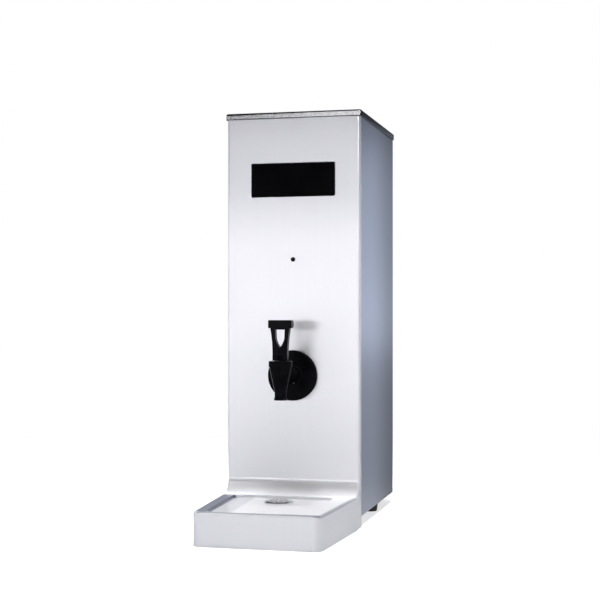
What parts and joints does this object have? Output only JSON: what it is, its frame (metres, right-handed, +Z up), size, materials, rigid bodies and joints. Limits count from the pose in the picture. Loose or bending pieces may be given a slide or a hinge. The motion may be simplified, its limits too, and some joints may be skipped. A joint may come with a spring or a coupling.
{
  "type": "countertop water boiler",
  "caption": "Tall slim stainless countertop water boiler with a lift-off polished top, black lever faucet, display window and a drained drip tray.",
  "frame": {"origin": "middle of the footprint, at the height of the worktop", "axes": "+X to the right seen from the front, +Y to the back, +Z up; the faucet faces -Y"},
  "size_m": [0.202, 0.494, 0.6],
  "materials": {
    "housing_steel": "fine satin brushed",
    "side_steel": "fine satin brushed",
    "inner_steel": "mill finish",
    "lid_chrome": "polished",
    "foot_rubber": "moulded",
    "screw_steel": "plain",
    "window_black": "polished",
    "board_green": "lacquered",
    "spacer_nylon": "moulded",
    "heat_sink": "extruded",
    "faucet_black": "moulded, glossy",
    "hose_silicone": "translucent white",
    "fitting_brass": "turned",
    "drain_chrome": "polished",
    "seal_rubber": "moulded",
    "fitting_plastic": "moulded",
    "tank_steel": "drawn",
    "jacket_foam": "foam",
    "element_steel": "heat tinted",
    "valve_plastic": "moulded",
    "coil_black": "moulded",
    "button_red": "moulded",
    "rocker_black": "moulded",
    "nut_plastic": "moulded"
  },
  "bodies": {
    "casing": {"front_housing": "housing_steel", "left_side_panel": "side_steel", "right_side_panel": "side_steel", "seam_strips": "inner_steel", "base_plate": "inner_steel", "rear_panel": "side_steel", "casing_feet": "foot_rubber", "base_screws": "screw_steel", "rear_screws": "screw_steel", "display_window": "window_black", "display_board": "board_green", "control_board": "board_green", "board_spacers": "spacer_nylon", "power_relay": "heat_sink", "indicator_lens": "window_black", "faucet_flange": "faucet_black", "faucet_body": "faucet_black", "faucet_bonnet": "faucet_black", "shank_washer": "hose_silicone", "faucet_shank": "fitting_brass", "shank_nut": "fitting_brass", "drain_tail": "drain_chrome", "drain_washer": "seal_rubber", "drain_elbow": "fitting_plastic", "drain_outlet": "fitting_plastic", "drain_hose": "hose_silicone", "tank_stand": "inner_steel", "tank_body": "tank_steel", "tank_lid": "tank_steel", "tank_gasket": "seal_rubber", "tank_clips": "screw_steel", "insulation_jacket": "jacket_foam", "heating_element": "element_steel", "element_gasket": "seal_rubber", "element_bolts": "screw_steel", "temperature_probe": "fitting_brass", "level_probes": "screw_steel", "outlet_hose": "hose_silicone", "hose_clips": "screw_steel", "vent_hose": "hose_silicone", "overflow_fitting": "fitting_plastic", "inlet_valve": "valve_plastic", "valve_coil": "coil_black", "inlet_hose": "hose_silicone", "terminal_block": "valve_plastic", "overheat_cutout": "coil_black", "power_switch": "coil_black", "cable_gland": "fitting_plastic", "gland_cap": "fitting_plastic", "fitting_nuts": "nut_plastic"},
    "valve": {"valve_stem": "inner_steel", "seat_cup": "hose_silicone", "lever_pin": "screw_steel", "stem_spring": "screw_steel"},
    "lever": {"faucet_lever": "faucet_black"},
    "lid": {"top_lid": "lid_chrome"},
    "strainer": {"basin_strainer": "drain_chrome"},
    "rocker": {"switch_rocker": "rocker_black"},
    "button": {"reset_button": "button_red"},
    "plunger": {"valve_plunger": "screw_steel"}
  },
  "joints": [
    {"name": "valve_lift", "type": "slide", "parent": "casing", "child": "valve", "axis": [0, 0, 1], "range_m": [0, 0.00275], "deforming": ["stem_spring"]},
    {"name": "lever_tilt", "type": "hinge", "parent": "valve", "child": "lever", "pos_m": [0, -0.117, 0.247], "axis": [1, 0, 0], "range_deg": [0, 35], "stiffness_Nm_per_rad": 0.3},
    {"name": "lid_lift", "type": "slide", "parent": "casing", "child": "lid", "axis": [0, 0, 1], "range_m": [0, 0.1]},
    {"name": "strainer_lift", "type": "slide", "parent": "casing", "child": "strainer", "axis": [0, 0, 1], "range_m": [0, 0.05]},
    {"name": "rocker_tilt", "type": "hinge", "parent": "casing", "child": "rocker", "pos_m": [-0.06, 0.224, 0.15], "axis": [-1, 0, 0], "range_deg": [0, 20]},
    {"name": "reset_press", "type": "slide", "parent": "casing", "child": "button", "axis": [0, -1, 0], "range_m": [0, 0.0015], "stiffness_N_per_m": 1500},
    {"name": "plunger_lift", "type": "slide", "parent": "casing", "child": "plunger", "axis": [0, 0, 1], "range_m": [0, 0.003], "stiffness_N_per_m": 200}
  ],
  "couplings": [
    {"joint": "lever_tilt", "follows": "valve_lift", "rad_per_m": 215}
  ]
}
